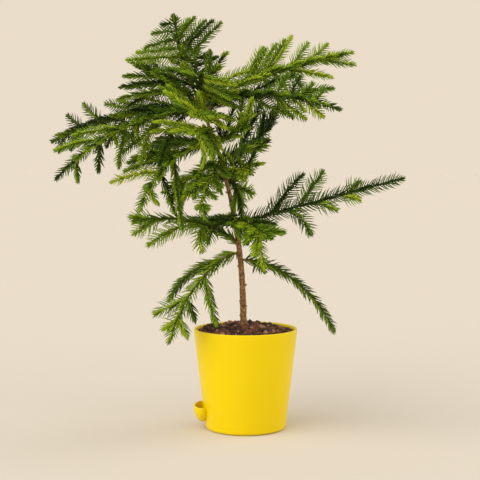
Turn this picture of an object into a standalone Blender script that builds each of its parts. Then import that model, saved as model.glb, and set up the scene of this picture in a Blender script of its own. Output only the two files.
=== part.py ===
"""A young Norfolk Island pine in a plastic pot with a watering spout.

The trunk leans and stays whole through the foliage. Boughs arch out from it in whorls, and each
bough carries one mass of foliage: a stem with rows of twigs, all of them set with needles.
Metres, Z up, origin on the ground under the middle of the pot; -Y is the front.
"""
import math
import random
from collections import namedtuple

import bmesh
import bpy
from mathutils import Matrix, Quaternion, Vector, noise
from mathutils.bvhtree import BVHTree

OBJECT_NAME = "norfolk_island_pine"

GAP = 0.0003                # between solids that touch
SHARP_ANGLE = 40            # degrees between two faces from which their edge shows as sharp

# pot
POT_HEIGHT = 0.106
POT_TOP_RADIUS = 0.055
POT_BASE_RADIUS = 0.0425
POT_WALL = 0.0028
POT_FLOOR = 0.0035
POT_FOOT_ROUND = 0.003      # radius of the edge where the wall turns into the underside
POT_STEPS = 44
ROUND_STEPS = 3             # straight pieces in a quarter of a rounded edge

# watering spout: half a bowl low on the wall
SPOUT_TURN = 180            # degrees from +X towards +Y
SPOUT_RIM_HEIGHT = 0.0243
SPOUT_DEPTH = 0.018
SPOUT_OUT = 0.010           # how far it stands out from the wall
SPOUT_HALF_WIDTH = 0.021
SPOUT_WALL = 0.002
SPOUT_SEGMENTS = 24

# soil
SOIL_TOP = 0.1085           # where the trunk stands
SOIL_EDGE_DROP = 0.0065     # how far the soil falls from there to the wall
SOIL_RINGS = 8
SOIL_STEPS = 32
CRUMB_SIZE = 0.006
CRUMB_RELIEF = 0.0014
TRUNK_SEAT = 0.0055         # radius of the level soil round the trunk

# trunk
TRUNK_FOOT_X = -0.0023
TRUNK_TOP = 0.3640          # height of the tip
TRUNK_LEAN = 0.0555         # how far the tip stands to the left of the foot
TRUNK_CURVE = 2.2           # power of the height with which the lean grows
TRUNK_SWAY = 0.0008          # how far it wanders back and forth
SWAY_WAVES = 1.5
TRUNK_FOOT_RADIUS = 0.0032
TRUNK_TIP_RADIUS = 0.0013
ROOT_FLARE = 0.0012
ROOT_FLARE_HEIGHT = 0.003
TRUNK_POINTS = 22
TRUNK_BEVEL = 3

# boughs and twigs
BARE = 0.009                # length of limb before the foliage starts
BOUGH_FOOT_RADIUS = 0.0013
STEM_RADIUS = 0.0011
STEM_TIP_RADIUS = 0.0007
TWIG_RADIUS = 0.0009
TWIG_TIP_RADIUS = 0.0006
STEP = 0.004                # distance between the points of a line
LIMB_BEVEL = 1
EASE = 0.6                  # a bough bends most near its foot
SHARE_UNEVEN = 0.012        # how unevenly the twigs of a row are set, as a share of the bough
TILT_UNEVEN = 5             # and how much their tilt and spread vary, in degrees
SPREAD_UNEVEN = 3
REACH_UNEVEN = 0.04         # and their reach, as a share of it

# needles
NEEDLE_PITCH = 0.0081       # distance along a stick from three needles to the next three
NEEDLE_RISE = 0.0058        # how far a needle stands out
NEEDLE_SWEEP = 0.0045       # how far it leans towards the tip
NEEDLE_TURN = 60            # degrees from three needles to the next three
SHORTER = (1, 0.85, 0.7, 0.55)   # shares of its reach that a twig is cut to until it touches nothing

# height: foot on the trunk; turn: degrees from +X towards +Y; rise: slope at the foot in degrees;
# bend: change of slope by the tip; tone: which green; rows: the rows of twigs
Bough = namedtuple("Bough", "height turn rise bend length tone rows bare", defaults=(BARE,))

# count twigs from share first to share last of the bough, reach to tip_reach long, spread degrees
# off the bough, leaving it on side tilt (0 right, 90 up, 180 left, 270 down, seen from the trunk)
# and drooping by droop degrees
Row = namedtuple("Row", "count first last reach tip_reach spread tilt droop")

BOUGHS = {
    # lowest whorl
    "low_left": Bough(0.186, 216, 0, -72, 0.133, "middle", (
        Row(1, 0.20, 0.20, 0.071, 0.071, 36, 20, 55),
        Row(2, 0.62, 0.80, 0.039, 0.018, 34, 50, 0),
        Row(1, 0.37, 0.37, 0.057, 0.057, 52, 250, -22),
        Row(2, 0.60, 0.78, 0.028, 0.026, 44, 230, -10))),
    "low_right": Bough(0.178, -6, 10, -76, 0.133, "middle", (
        Row(1, 0.12, 0.12, 0.020, 0.020, 52, 220, 10),)),
    # second whorl
    "second_left": Bough(0.193, 198, 54, -66, 0.124, "bright", (
        Row(2, 0.26, 0.36, 0.025, 0.036, 60, 215, 60),
        Row(2, 0.40, 0.76, 0.066, 0.034, 24, 240, 30),
        Row(1, 0.80, 0.80, 0.027, 0.027, 20, 50, 10))),
    "second_right": Bough(0.216, 8, 16, -2, 0.190, "middle", (
        Row(1, 0.20, 0.20, 0.057, 0.057, 40, 110, 5),
        Row(1, 0.37, 0.37, 0.052, 0.052, 40, 120, 5),
        Row(1, 0.66, 0.66, 0.021, 0.021, 26, 110, 0),
        Row(1, 0.30, 0.30, 0.042, 0.042, 34, 300, 70),
        Row(2, 0.47, 0.61, 0.027, 0.022, 30, 300, 15))),
    "second_front_right": Bough(0.222, -62, -6, -10, 0.085, "middle", (
        Row(2, 0.34, 0.70, 0.040, 0.030, 30, 150, 10),
        Row(2, 0.39, 0.66, 0.041, 0.045, 36, 320, -10))),
    "second_front": Bough(0.2255, 262, 2, -22, 0.030, "shaded", (
        Row(2, 0.45, 0.85, 0.026, 0.021, 58, 0, 5),
        Row(2, 0.45, 0.85, 0.033, 0.021, 58, 210, 30))),
    "second_back": Bough(0.214, 114, 12, -22, 0.100, "shaded", (
        Row(3, 0.30, 0.80, 0.046, 0.024, 50, 8, 10),
        Row(3, 0.30, 0.80, 0.040, 0.024, 50, 172, 10))),
    # third whorl
    "third_right": Bough(0.268, -30, 28, -22, 0.046, "bright", (
        Row(2, 0.22, 0.59, 0.035, 0.019, 52, 110, 5),
        Row(2, 0.30, 0.60, 0.030, 0.022, 50, 320, 10))),
    "third_low_right": Bough(0.262, -60, 28, -126, 0.061, "middle", (
        Row(1, 0.41, 0.41, 0.036, 0.036, 44, 90, 15),
        Row(1, 0.49, 0.49, 0.023, 0.023, 56, 270, 0))),
    "third_front": Bough(0.284, 250, -36, -4, 0.084, "middle", (
        Row(2, 0.40, 0.45, 0.040, 0.044, 36, 20, 10),
        Row(2, 0.32, 0.87, 0.027, 0.021, 36, 230, -20))),
    "third_left": Bough(0.276, 214, 18, -76, 0.082, "bright", (
        Row(1, 0.50, 0.50, 0.035, 0.035, 22, 40, 25),
        Row(2, 0.36, 0.70, 0.034, 0.023, 44, 240, 10))),
    "third_back": Bough(0.262, 100, 10, -18, 0.108, "shaded", (
        Row(3, 0.30, 0.80, 0.044, 0.024, 50, 8, 10),
        Row(3, 0.30, 0.80, 0.050, 0.026, 50, 172, 10))),
    # fourth whorl
    "fourth_left": Bough(0.296, 206, 24, -98, 0.122, "bright", (
        Row(3, 0.32, 0.43, 0.055, 0.053, 40, 50, 25),
        Row(3, 0.43, 0.77, 0.088, 0.024, 56, 230, -5))),
    "fourth_right": Bough(0.287, 56, -2, 34, 0.109, "shaded", (
        Row(2, 0.37, 0.70, 0.069, 0.036, 38, 90, 5),
        Row(2, 0.35, 0.54, 0.041, 0.030, 20, 330, -10))),
    "fourth_front_right": Bough(0.305, -48, -18, 68, 0.065, "bright", (
        Row(2, 0.26, 0.65, 0.036, 0.035, 60, 100, 0),
        Row(2, 0.45, 0.60, 0.040, 0.052, 20, 320, -30))),
    "fourth_front": Bough(0.312, 258, 14, -28, 0.087, "bright", (
        Row(2, 0.34, 0.79, 0.058, 0.027, 74, 4, 10),
        Row(3, 0.28, 0.80, 0.034, 0.041, 56, 210, 30))),
    "fourth_back": Bough(0.300, 122, 12, -22, 0.124, "shaded", (
        Row(3, 0.25, 0.78, 0.050, 0.026, 50, 8, 10),
        Row(3, 0.25, 0.78, 0.050, 0.026, 50, 172, 10))),
    # fifth whorl
    "fifth_left": Bough(0.330, 200, 18, -66, 0.181, "middle", (
        Row(5, 0.11, 0.83, 0.072, 0.026, 50, 240, 25),
        Row(2, 0.51, 0.62, 0.056, 0.055, 34, 50, 20))),
    "fifth_left_back": Bough(0.335, 160, 10, -32, 0.187, "shaded", (
        Row(1, 0.38, 0.38, 0.047, 0.047, 30, 90, 12),
        Row(2, 0.64, 0.77, 0.032, 0.026, 56, 90, 0),
        Row(2, 0.47, 0.76, 0.044, 0.029, 40, 270, 5))),
    "fifth_right": Bough(0.342, 12, 30, -18, 0.180, "bright", (
        Row(3, 0.29, 0.45, 0.049, 0.055, 40, 110, 5),
        Row(1, 0.60, 0.60, 0.038, 0.038, 40, 110, 5),
        Row(1, 0.70, 0.70, 0.036, 0.036, 30, 110, 10),
        Row(2, 0.55, 0.77, 0.054, 0.043, 26, 310, 10)), 0.030),
    "fifth_right_low": Bough(0.334, -26, 34, -56, 0.161, "middle", (
        Row(2, 0.31, 0.63, 0.056, 0.048, 36, 130, 20),
        Row(3, 0.32, 0.74, 0.054, 0.030, 36, 260, -10)), 0.020),
    "fifth_front": Bough(0.3255, 262, 18, -30, 0.090, "bright", (
        Row(3, 0.26, 0.80, 0.059, 0.027, 60, 30, -10),
        Row(3, 0.34, 0.80, 0.054, 0.027, 52, 180, 15))),
    "fifth_back": Bough(0.328, 88, 22, -14, 0.124, "shaded", (
        Row(3, 0.25, 0.78, 0.050, 0.026, 50, 40, 10),
        Row(3, 0.25, 0.78, 0.050, 0.026, 50, 172, 10))),
    # top
    "top_left": Bough(0.341, 168, 46, -24, 0.088, "middle", (
        Row(3, 0.18, 0.58, 0.079, 0.043, 34, 220, 35),
        Row(2, 0.41, 0.61, 0.041, 0.036, 14, 80, 10))),
    "top_right": Bough(0.351, 20, 40, 24, 0.057, "middle", (
        Row(1, 0.35, 0.35, 0.041, 0.041, 36, 130, 10),
        Row(1, 0.22, 0.22, 0.062, 0.062, 28, 280, 0))),
    "top_front": Bough(0.3465, 276, 28, -4, 0.056, "middle", (
        Row(2, 0.39, 0.75, 0.054, 0.025, 56, 6, 10),
        Row(3, 0.20, 0.80, 0.051, 0.041, 76, 200, 10))),
    "leader_back": Bough(0.361, 80, 48, 10, 0.057, "shaded", (
        Row(2, 0.26, 0.63, 0.036, 0.022, 48, 340, 5),
        Row(2, 0.30, 0.75, 0.039, 0.025, 48, 180, 5))),
    "leader": Bough(0.364, 180, 68, 12, 0.073, "middle", (
        Row(2, 0.38, 0.505, 0.060, 0.049, 76, 270, 8),
        Row(3, 0.63, 0.88, 0.038, 0.016, 84, 270, 14),
        Row(3, 0.28, 0.74, 0.062, 0.023, 54, 90, 15)), 0.004),
}

# base colour and roughness of each finish
FINISHES = {
    "yellow_plastic": ((0.95, 0.66, 0.01, 1), 0.28),
    "soil": ((0.075, 0.045, 0.03, 1), 0.95),
    "bark": ((0.21, 0.15, 0.07, 1), 0.85),
    "middle": ((0.10, 0.22, 0.05, 1), 0.55),
    "bright": ((0.24, 0.40, 0.07, 1), 0.5),
    "shaded": ((0.035, 0.11, 0.045, 1), 0.6),
}


def clear_scene():
    for obj in list(bpy.data.objects):
        bpy.data.objects.remove(obj)


def new_collection(name):
    collection = bpy.data.collections.new(name)
    bpy.context.scene.collection.children.link(collection)
    return collection


def finish_material(name, finish):
    """A Principled material for one part."""
    colour, roughness = FINISHES[finish]
    material = bpy.data.materials.new(name)
    material.use_nodes = True
    shader = material.node_tree.nodes["Principled BSDF"]
    shader.inputs["Base Color"].default_value = colour
    shader.inputs["Roughness"].default_value = roughness
    shader.inputs["Metallic"].default_value = 0
    return material


def add_mesh(name, bm, collection, finish=None):
    mesh = bpy.data.meshes.new(name)
    bm.to_mesh(mesh)
    bm.free()
    obj = bpy.data.objects.new(name, mesh)
    collection.objects.link(obj)
    if finish:
        mesh.materials.append(finish_material(name, finish))
    return obj


def hide_helper(obj):
    obj.hide_render = True
    obj.display_type = "WIRE"


def evaluated_mesh(obj):
    bpy.context.view_layer.update()
    graph = bpy.context.evaluated_depsgraph_get()
    return bpy.data.meshes.new_from_object(obj.evaluated_get(graph))


def apply_modifiers(obj):
    """Gives the object the mesh that its modifiers make."""
    made = evaluated_mesh(obj)
    obj.modifiers.clear()
    obj.data = made


def add_boolean(obj, operation, other):
    modifier = obj.modifiers.new(operation.lower(), "BOOLEAN")
    modifier.operation = operation
    modifier.solver = "EXACT"
    if isinstance(other, bpy.types.Collection):
        modifier.operand_type = "COLLECTION"
        modifier.collection = other
    else:
        modifier.object = other
    return modifier


def turned(name, profile, steps, collection, finish=None):
    """A solid of revolution; the profile runs from the axis over the top and down the outer side."""
    mesh = bpy.data.meshes.new(name)
    points = [(radius, 0, height) for radius, height in profile]
    edges = [(k, k + 1) for k in range(len(points) - 1)]
    mesh.from_pydata(points, edges, [])
    obj = bpy.data.objects.new(name, mesh)
    collection.objects.link(obj)
    screw = obj.modifiers.new("turn", "SCREW")
    screw.steps = steps
    screw.render_steps = steps
    screw.use_merge_vertices = True
    screw.merge_threshold = 0.00001
    if finish:
        mesh.materials.append(finish_material(name, finish))
    return obj


def arc(centre, radius, start, end):
    """Points (radius, height) along an arc, from start to end degrees."""
    count = max(1, round(abs(end - start) / 90 * ROUND_STEPS))
    angles = [math.radians(start + (end - start) * k / count) for k in range(count + 1)]
    return [(centre[0] + radius * math.cos(a), centre[1] + radius * math.sin(a)) for a in angles]


def pot_radius(height):
    """Outer radius of the pot's wall."""
    return POT_BASE_RADIUS + (POT_TOP_RADIUS - POT_BASE_RADIUS) * height / POT_HEIGHT


def make_pot(collection):
    rim = POT_WALL / 2
    wall_lean = math.degrees(math.atan2(POT_TOP_RADIUS - POT_BASE_RADIUS, POT_HEIGHT))
    profile = [(0, POT_FLOOR), (pot_radius(POT_FLOOR) - POT_WALL, POT_FLOOR)]
    profile += arc((POT_TOP_RADIUS - rim, POT_HEIGHT - rim), rim, 180 - wall_lean, -wall_lean)
    foot = POT_FOOT_ROUND
    profile += arc((pot_radius(foot) - foot, foot), foot, -wall_lean, -90)
    profile += [(0, 0)]
    pot = turned("pot", profile, POT_STEPS, collection, "yellow_plastic")
    apply_modifiers(pot)
    pot.data.shade_smooth()
    pot.data.set_sharp_from_angle(angle=math.radians(SHARP_ANGLE))
    return pot


def scaled_ball(name, centre, turn, radii, collection):
    """An ellipsoid with its own X axis turned to turn degrees."""
    bm = bmesh.new()
    place = Matrix.Translation(centre) @ Matrix.Rotation(math.radians(turn), 4, "Z")
    shape = Matrix.Diagonal((*radii, 1))
    bmesh.ops.create_uvsphere(bm, u_segments=SPOUT_SEGMENTS, v_segments=SPOUT_SEGMENTS // 2,
                              radius=1, matrix=place @ shape)
    return add_mesh(name, bm, collection)


def make_spout(collection, cutters):
    """Half a thin bowl, open at the top, cut clear of the pot's wall."""
    turn = math.radians(SPOUT_TURN)
    outward = Vector((math.cos(turn), math.sin(turn), 0))
    centre = outward * pot_radius(SPOUT_RIM_HEIGHT) + Vector((0, 0, SPOUT_RIM_HEIGHT))
    radii = (SPOUT_OUT, SPOUT_HALF_WIDTH, SPOUT_DEPTH)
    spout = scaled_ball("water_spout", centre, SPOUT_TURN, radii, collection)
    inside = [radius - SPOUT_WALL for radius in radii]
    hollow = scaled_ball("spout_hollow", centre, SPOUT_TURN, inside, cutters)
    bm = bmesh.new()
    bmesh.ops.create_cube(bm, size=2 * POT_BASE_RADIUS,
                          matrix=Matrix.Translation(centre + Vector((0, 0, POT_BASE_RADIUS))))
    lid = add_mesh("spout_lid", bm, cutters)
    low, high = -POT_HEIGHT, POT_HEIGHT
    body = [(0, high), (pot_radius(high) + GAP, high), (pot_radius(low) + GAP, low), (0, low)]
    wall = turned("pot_clearance", body, POT_STEPS, cutters)
    apply_modifiers(wall)
    for cutter in (hollow, lid, wall):
        hide_helper(cutter)
        add_boolean(spout, "DIFFERENCE", cutter)
    apply_modifiers(spout)
    spout.data.materials.clear()
    spout.data.materials.append(finish_material("water_spout", "yellow_plastic"))
    return spout


def soil_height(x, y):
    """Height of the crumbly surface, level where the trunk stands."""
    from_middle = math.hypot(x, y)
    from_trunk = math.hypot(x - TRUNK_FOOT_X, y)
    clear = min(1, max(0, (from_trunk - TRUNK_SEAT) / TRUNK_SEAT))
    fall = SOIL_EDGE_DROP * (from_middle / (POT_TOP_RADIUS - POT_WALL)) ** 2
    crumbs = noise.noise(Vector((x, y, 0)) / CRUMB_SIZE) * CRUMB_RELIEF
    return SOIL_TOP - GAP - clear * (fall - crumbs)


def make_soil(collection):
    bottom = POT_FLOOR + GAP
    inset = POT_WALL + GAP
    edge = SOIL_TOP - SOIL_EDGE_DROP
    outer = pot_radius(edge) - inset
    profile = [(outer * k / SOIL_RINGS, SOIL_TOP) for k in range(SOIL_RINGS + 1)]
    profile[-1] = (outer, edge)
    profile += [(pot_radius(bottom) - inset, bottom), (0, bottom)]
    soil = turned("soil", profile, SOIL_STEPS, collection, "soil")
    apply_modifiers(soil)
    for vertex in soil.data.vertices:
        x, y, z = vertex.co
        if z > bottom + GAP:
            vertex.co.z = min(soil_height(x, y), SOIL_TOP - GAP)
    return soil


def trunk_point(height):
    share = (height - SOIL_TOP) / (TRUNK_TOP - SOIL_TOP)
    x = TRUNK_FOOT_X - TRUNK_LEAN * share ** TRUNK_CURVE
    y = TRUNK_SWAY * (1 - math.cos(2 * math.pi * SWAY_WAVES * share))
    return Vector((x, y, height))


def trunk_radius(height):
    share = (height - SOIL_TOP) / (TRUNK_TOP - SOIL_TOP)
    flare = ROOT_FLARE * math.exp((SOIL_TOP - height) / ROOT_FLARE_HEIGHT)
    return TRUNK_FOOT_RADIUS + (TRUNK_TIP_RADIUS - TRUNK_FOOT_RADIUS) * share + flare


def tube(name, points, radii, bevel_steps, collection, finish=None):
    """A closed round tube through the points, as a mesh."""
    curve = bpy.data.curves.new(name, "CURVE")
    curve.dimensions = "3D"
    curve.bevel_depth = 1
    curve.bevel_resolution = bevel_steps
    curve.use_fill_caps = True
    spline = curve.splines.new("POLY")
    spline.points.add(len(points) - 1)
    for place, point, radius in zip(spline.points, points, radii):
        place.co = (*point, 1)
        place.radius = radius
    guide = bpy.data.objects.new(name + "_guide", curve)
    collection.objects.link(guide)
    bm = bmesh.new()
    bm.from_mesh(evaluated_mesh(guide))
    bpy.data.objects.remove(guide)
    bmesh.ops.remove_doubles(bm, verts=bm.verts, dist=0.00001)
    bmesh.ops.recalc_face_normals(bm, faces=bm.faces)
    return add_mesh(name, bm, collection, finish)


def trunk_heights():
    """Close together in the root flare, then evenly up to the tip."""
    flare = [SOIL_TOP + ROOT_FLARE_HEIGHT * share for share in (0, 0.5, 1, 2)]
    start = flare[-1]
    rest = TRUNK_POINTS - len(flare)
    return flare + [start + (TRUNK_TOP - start) * (k + 1) / rest for k in range(rest)]


def make_trunk(collection):
    heights = trunk_heights()
    points = [trunk_point(height) for height in heights]
    radii = [trunk_radius(height) for height in heights]
    trunk = tube("trunk", points, radii, TRUNK_BEVEL, collection, "bark")
    trunk.data.shade_smooth()
    return trunk


def make_trunk_clearance(cutters):
    """What the boughs are cut back to."""
    heights = trunk_heights()
    points = [trunk_point(height) for height in heights]
    points[-1] = points[-1] + (points[-1] - points[-2]).normalized() * GAP
    radii = [trunk_radius(height) + GAP for height in heights]
    clearance = tube("trunk_clearance", points, radii, TRUNK_BEVEL, cutters)
    hide_helper(clearance)
    return clearance


def heading(turn, rise):
    turn, rise = math.radians(turn), math.radians(rise)
    return Vector((math.cos(turn) * math.cos(rise), math.sin(turn) * math.cos(rise), math.sin(rise)))


def grow(start, turn, rise, bend, length, ease):
    """The points of a line whose slope changes by bend degrees along its length."""
    count = max(3, round(length / STEP))
    points = [start.copy()]
    for k in range(count):
        share = (k + 0.5) / count
        points.append(points[-1] + heading(turn, rise + bend * share ** ease) * (length / count))
    return points


def place_on(line, share):
    """The point at that share of the line and the line's direction there."""
    where = share * (len(line) - 1)
    k = min(int(where), len(line) - 2)
    return line[k].lerp(line[k + 1], where - k), (line[k + 1] - line[k]).normalized()


def bough_line(bough):
    foot = trunk_point(bough.height)
    return grow(foot, bough.turn, bough.rise, bough.bend, bough.length, EASE)


def part_of(line, start, end):
    """The stretch of the line between two shares of it."""
    count = max(2, round((end - start) * (len(line) - 1)))
    return [place_on(line, start + (end - start) * k / count)[0] for k in range(count + 1)]


def twig_lines(name, bough):
    """One line for each twig of the bough, a little uneven."""
    uneven = random.Random(name)
    line = bough_line(bough)
    lines = []
    for row in bough.rows:
        for k in range(row.count):
            part = k / (row.count - 1) if row.count > 1 else 0
            share = row.first + (row.last - row.first) * part
            share += uneven.uniform(-SHARE_UNEVEN, SHARE_UNEVEN)
            foot, along = place_on(line, share)
            right = along.cross(Vector((0, 0, 1))).normalized()
            tilt = row.tilt + uneven.uniform(-TILT_UNEVEN, TILT_UNEVEN)
            side = Quaternion(along, -math.radians(tilt)) @ right
            spread = math.radians(row.spread + uneven.uniform(-SPREAD_UNEVEN, SPREAD_UNEVEN))
            out = along * math.cos(spread) + side * math.sin(spread)
            reach = row.reach + (row.tip_reach - row.reach) * part
            reach *= uneven.uniform(1 - REACH_UNEVEN, 1 + REACH_UNEVEN)
            turn = math.degrees(math.atan2(out.y, out.x))
            rise = math.degrees(math.asin(out.z))
            bend = -row.droop * (reach / row.reach) ** 2
            lines.append(grow(foot, turn, rise, bend, reach, 1))
    return lines


def line_length(line):
    return sum((b - a).length for a, b in zip(line, line[1:]))


def draw_out_needles(bm, faces, along, reach):
    """Draws the middle of each face out from the stick and towards its tip."""
    middle = sum((face.calc_center_median() for face in faces), Vector()) / len(faces)
    for point in bmesh.ops.poke(bm, faces=faces)["verts"]:
        outward = point.co - middle
        outward = (outward - along * outward.dot(along)).normalized()
        point.co += outward * (NEEDLE_RISE + reach) + along * NEEDLE_SWEEP


def needled_stick(line, thick, thin, bare_stations=0, grown=0):
    """A closed three-sided stick along the line, its side faces and its end drawn out into needles."""
    length = line_length(line)
    shaft = 1 - NEEDLE_RISE / length
    stations = max(2, round(shaft * length / NEEDLE_PITCH))
    bm = bmesh.new()
    point, along = place_on(line, 0)
    radius = thick + grown
    place = Matrix.Translation(point) @ along.to_track_quat("Z", "Y").to_matrix().to_4x4()
    bmesh.ops.create_circle(bm, cap_ends=True, segments=3, radius=radius, matrix=place)
    cap = bm.faces[:][0]
    for k in range(stations):
        next_point, next_along = place_on(line, shaft * (k + 1) / stations)
        next_radius = thick + (thin - thick) * (k + 1) / stations + grown
        twist = Quaternion(next_along, math.radians(NEEDLE_TURN))
        turn = twist @ along.rotation_difference(next_along)
        cap = bmesh.ops.extrude_discrete_faces(bm, faces=[cap])["faces"][0]
        for corner in cap.verts:
            corner.co = next_point + turn @ (corner.co - point) * next_radius / radius
        sides = [loop.link_loop_radial_next.face for loop in cap.loops]
        point, along, radius = next_point, next_along, next_radius
        if k >= bare_stations:
            draw_out_needles(bm, sides, along, grown)
    bmesh.ops.poke(bm, faces=[cap])["verts"][0].co += along * (NEEDLE_RISE + grown)
    bmesh.ops.holes_fill(bm, edges=[edge for edge in bm.edges if edge.is_boundary])
    bmesh.ops.recalc_face_normals(bm, faces=bm.faces)
    return bm


def make_limb(name, bough, clearance, collection):
    """The bare foot of a bough, cut back to the trunk."""
    line = part_of(bough_line(bough), 0, bough.bare / bough.length)
    last = len(line) - 1
    radii = [BOUGH_FOOT_RADIUS + (STEM_RADIUS - BOUGH_FOOT_RADIUS) * k / last for k in range(last + 1)]
    limb = tube("bough_" + name, line, radii, LIMB_BEVEL, collection, "bark")
    add_boolean(limb, "DIFFERENCE", clearance)
    apply_modifiers(limb)
    return limb


def object_tree(obj):
    bm = bmesh.new()
    bm.from_mesh(obj.data)
    tree = BVHTree.FromBMesh(bm)
    bm.free()
    return tree


def make_stem(bough):
    line = part_of(bough_line(bough), (bough.bare + GAP) / bough.length, 1)
    return needled_stick(line, STEM_RADIUS, STEM_TIP_RADIUS)


def make_twig(line, around):
    """The twig on that line, shortened until it clears what is around it, or nothing."""
    for share in SHORTER:
        stick = (part_of(line, 0, share), TWIG_RADIUS, TWIG_TIP_RADIUS, 1)
        room = needled_stick(*stick, grown=GAP)
        room_tree = BVHTree.FromBMesh(room)
        room.free()
        if not any(room_tree.overlap(tree) for tree in around):
            return needled_stick(*stick)
    return None


def grow_sticks(solids):
    """The needled sticks of each mass, its stem first, each mass in a space of its own."""
    standing = [object_tree(solid) for solid in solids]
    sticks = {name: [make_stem(bough)] for name, bough in BOUGHS.items()}
    trees = {name: [BVHTree.FromBMesh(stem)] for name, (stem,) in sticks.items()}
    for name, bough in BOUGHS.items():
        others = [tree for other in BOUGHS if other != name for tree in trees[other]]
        for line in twig_lines(name, bough):
            twig = make_twig(line, standing + others)
            if twig:
                sticks[name].append(twig)
                trees[name].append(BVHTree.FromBMesh(twig))
    return sticks


def make_foliage(name, sticks, finish, collection):
    """Joins the mass's stem and twigs into one solid."""
    twigs = new_collection("twigs_" + name)
    foliage = add_mesh("foliage_" + name, sticks[0], collection)
    for k, stick in enumerate(sticks[1:]):
        add_mesh(f"twig_{name}_{k}", stick, twigs)
    add_boolean(foliage, "UNION", twigs)
    apply_modifiers(foliage)
    for twig in list(twigs.objects):
        bpy.data.objects.remove(twig)
    bpy.data.collections.remove(twigs)
    foliage.data.materials.clear()
    foliage.data.materials.append(finish_material(foliage.name, finish))


def main():
    clear_scene()
    parts = new_collection(OBJECT_NAME)
    cutters = new_collection("cutters")
    solids = [make_pot(parts), make_spout(parts, cutters), make_soil(parts), make_trunk(parts)]
    clearance = make_trunk_clearance(cutters)
    solids += [make_limb(name, bough, clearance, parts) for name, bough in BOUGHS.items()]
    for name, sticks in grow_sticks(solids).items():
        make_foliage(name, sticks, BOUGHS[name].tone, parts)


if __name__ == "__main__":
    main()
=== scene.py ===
"""Dresses a young Norfolk Island pine in a glossy yellow pot: pot and spout, soil, trunk, needled twigs.

Metres, Z up, origin on the ground under the middle of the pot; -Y is the front.
"""
import math
import random
from collections import namedtuple

import bmesh
import bpy
import numpy as np
from bpy.props import FloatProperty, FloatVectorProperty, IntProperty, PointerProperty
from mathutils import Matrix, Quaternion, Vector, noise


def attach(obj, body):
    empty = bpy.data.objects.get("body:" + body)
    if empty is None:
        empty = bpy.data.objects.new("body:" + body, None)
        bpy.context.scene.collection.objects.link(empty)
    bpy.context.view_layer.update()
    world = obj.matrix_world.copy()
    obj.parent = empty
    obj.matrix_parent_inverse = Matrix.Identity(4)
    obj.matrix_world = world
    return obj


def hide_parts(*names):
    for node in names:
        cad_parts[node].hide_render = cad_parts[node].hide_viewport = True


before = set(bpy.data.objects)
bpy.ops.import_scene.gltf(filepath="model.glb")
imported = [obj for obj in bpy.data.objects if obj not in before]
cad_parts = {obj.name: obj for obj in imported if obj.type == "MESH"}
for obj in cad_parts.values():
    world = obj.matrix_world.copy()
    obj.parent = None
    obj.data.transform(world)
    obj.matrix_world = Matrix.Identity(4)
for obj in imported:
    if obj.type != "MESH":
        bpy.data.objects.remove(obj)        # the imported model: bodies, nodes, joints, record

bl_info = {
    "name": "Potted Norfolk Island Pine",
    "version": (1, 0, 0),
    "blender": (4, 5, 0),
    "location": "View3D > Sidebar > Pine",
    "description": "Makes the pot, soil, bark, twigs and needles of a young potted conifer",
    "category": "Object",
}

BODY = "root"

# the soil's surface
SOIL_TOP = 0.1085
SOIL_RADIUS = 0.0522
SOIL_EDGE_DROP = 0.0065
SWELL = 0.0012               # how far it swells and sinks
SWELL_WIDTH = 0.012

# the trunk's line
TRUNK_FOOT_X = -0.0023
TRUNK_TOP = 0.3640
TRUNK_LEAN = 0.0555
TRUNK_CURVE = 2.2
TRUNK_SWAY = 0.0008
SWAY_WAVES = 1.5

# how boughs and twigs grow
BARE = 0.009
STEP = 0.004
EASE = 0.6
SHARE_UNEVEN = 0.012
TILT_UNEVEN = 5
SPREAD_UNEVEN = 3
REACH_UNEVEN = 0.04
TIP_ROOM = 0.0050            # the last needles start this far before the end of a twig's line

# height: foot on the trunk; turn: degrees from +X towards +Y; rise: slope at the foot in degrees;
# bend: change of slope by the tip; tone: which greens, darker on shaded boughs as painted shade and
# lighter on bright ones as painted light; rows: the rows of twigs
Bough = namedtuple("Bough", "height turn rise bend length tone rows bare", defaults=(BARE,))

# count twigs from share first to share last of the bough, reach to tip_reach long, spread degrees
# off the bough, leaving it on side tilt (0 right, 90 up, 180 left, 270 down, seen from the trunk)
# and drooping by droop degrees
Row = namedtuple("Row", "count first last reach tip_reach spread tilt droop")

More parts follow.
